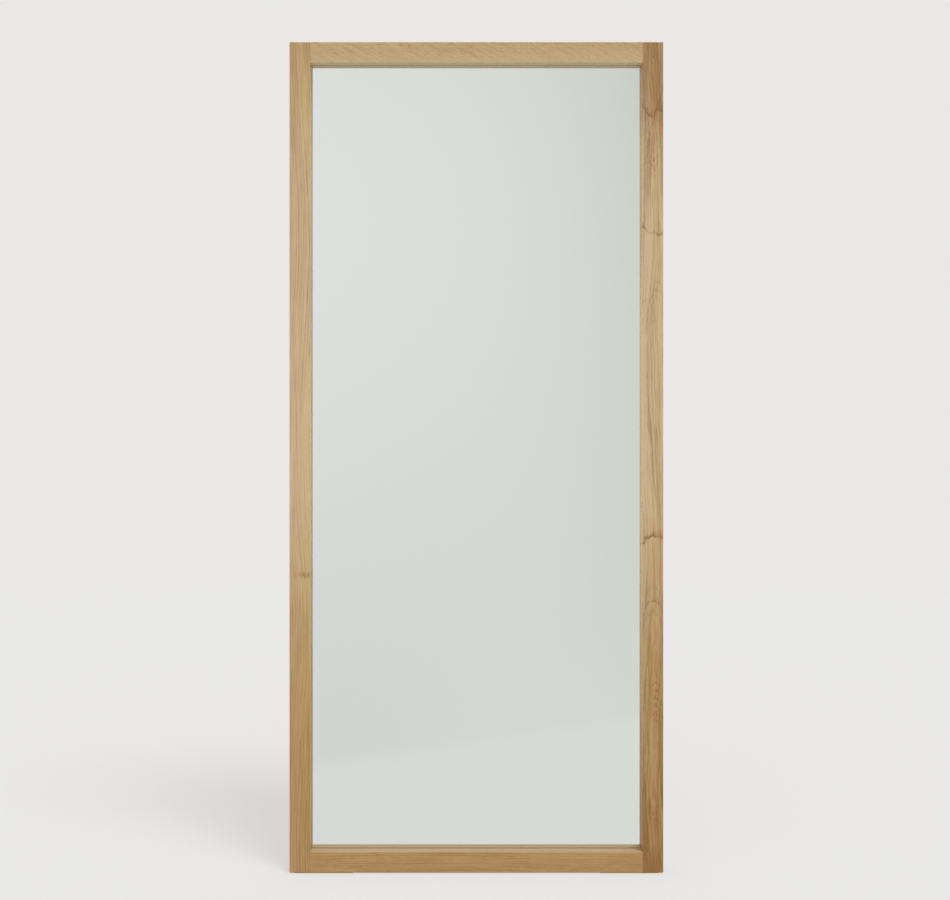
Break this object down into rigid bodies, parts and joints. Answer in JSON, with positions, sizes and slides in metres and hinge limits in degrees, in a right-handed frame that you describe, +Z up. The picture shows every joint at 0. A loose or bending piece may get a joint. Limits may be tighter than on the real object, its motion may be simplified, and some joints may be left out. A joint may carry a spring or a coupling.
{
  "type": "leaning floor mirror",
  "caption": "Tall rectangular mirror in a plain oak frame, glass set back behind a deep lip, with pads underneath and swinging ring hangers behind to tie it to a wall.",
  "frame": {"origin": "on the floor, under the middle of the mirror's box", "axes": "+X to the right seen from the front, +Y towards the wall, +Z up; the glass faces -Y"},
  "size_m": [0.9, 0.052, 2.0015],
  "materials": {
    "oak_left_stile": "satin oiled oak, mostly straight grain",
    "oak_right_stile": "satin oiled oak, flat-sawn with cathedral figure",
    "oak_top_rail": "satin oiled oak, fine short figure",
    "oak_bottom_rail": "satin oiled oak, straight wavy grain",
    "beech_dowel": "raw beech",
    "mirror_glass": "silvered float glass",
    "back_panel": "raw hardboard",
    "foam_tape": "dark closed-cell foam",
    "block_rubber": "matt rubber",
    "bumper_rubber": "translucent grey rubber",
    "pad_rubber": "matt rubber",
    "zinc_steel": "bright zinc plating",
    "yellow_zinc": "yellow zinc plating"
  },
  "bodies": {
    "mirror": {"back_panel": "back_panel", "bottom_rail": "oak_bottom_rail", "dowels_bottom_left": "beech_dowel", "dowels_bottom_right": "beech_dowel", "dowels_top_left": "beech_dowel", "dowels_top_right": "beech_dowel", "floor_pad_left": "pad_rubber", "floor_pad_right": "pad_rubber", "glazing_tape_bottom": "foam_tape", "glazing_tape_left": "foam_tape", "glazing_tape_right": "foam_tape", "glazing_tape_top": "foam_tape", "hanger_screws_left": "zinc_steel", "hanger_screws_right": "zinc_steel", "hanger_strap_left": "zinc_steel", "hanger_strap_right": "zinc_steel", "left_stile": "oak_left_stile", "mirror_glass": "mirror_glass", "panel_screws_bottom": "yellow_zinc", "panel_screws_left": "yellow_zinc", "panel_screws_right": "yellow_zinc", "panel_screws_top": "yellow_zinc", "right_stile": "oak_right_stile", "setting_block_left": "block_rubber", "setting_block_right": "block_rubber", "top_rail": "oak_top_rail", "wall_bumper_bottom_left": "bumper_rubber", "wall_bumper_bottom_right": "bumper_rubber", "wall_bumper_top_left": "bumper_rubber", "wall_bumper_top_right": "bumper_rubber"},
    "ring_left": {"hanger_ring_left": "zinc_steel"},
    "ring_right": {"hanger_ring_right": "zinc_steel"}
  },
  "joints": [
    {"name": "ring_left_swing", "type": "hinge", "parent": "mirror", "child": "ring_left", "pos_m": [-0.435, 0.02178, 1.7715], "axis": [1, 0, 0], "range_deg": [-2, 170]},
    {"name": "ring_right_swing", "type": "hinge", "parent": "mirror", "child": "ring_right", "pos_m": [0.435, 0.02178, 1.7715], "axis": [1, 0, 0], "range_deg": [-2, 170]}
  ]
}
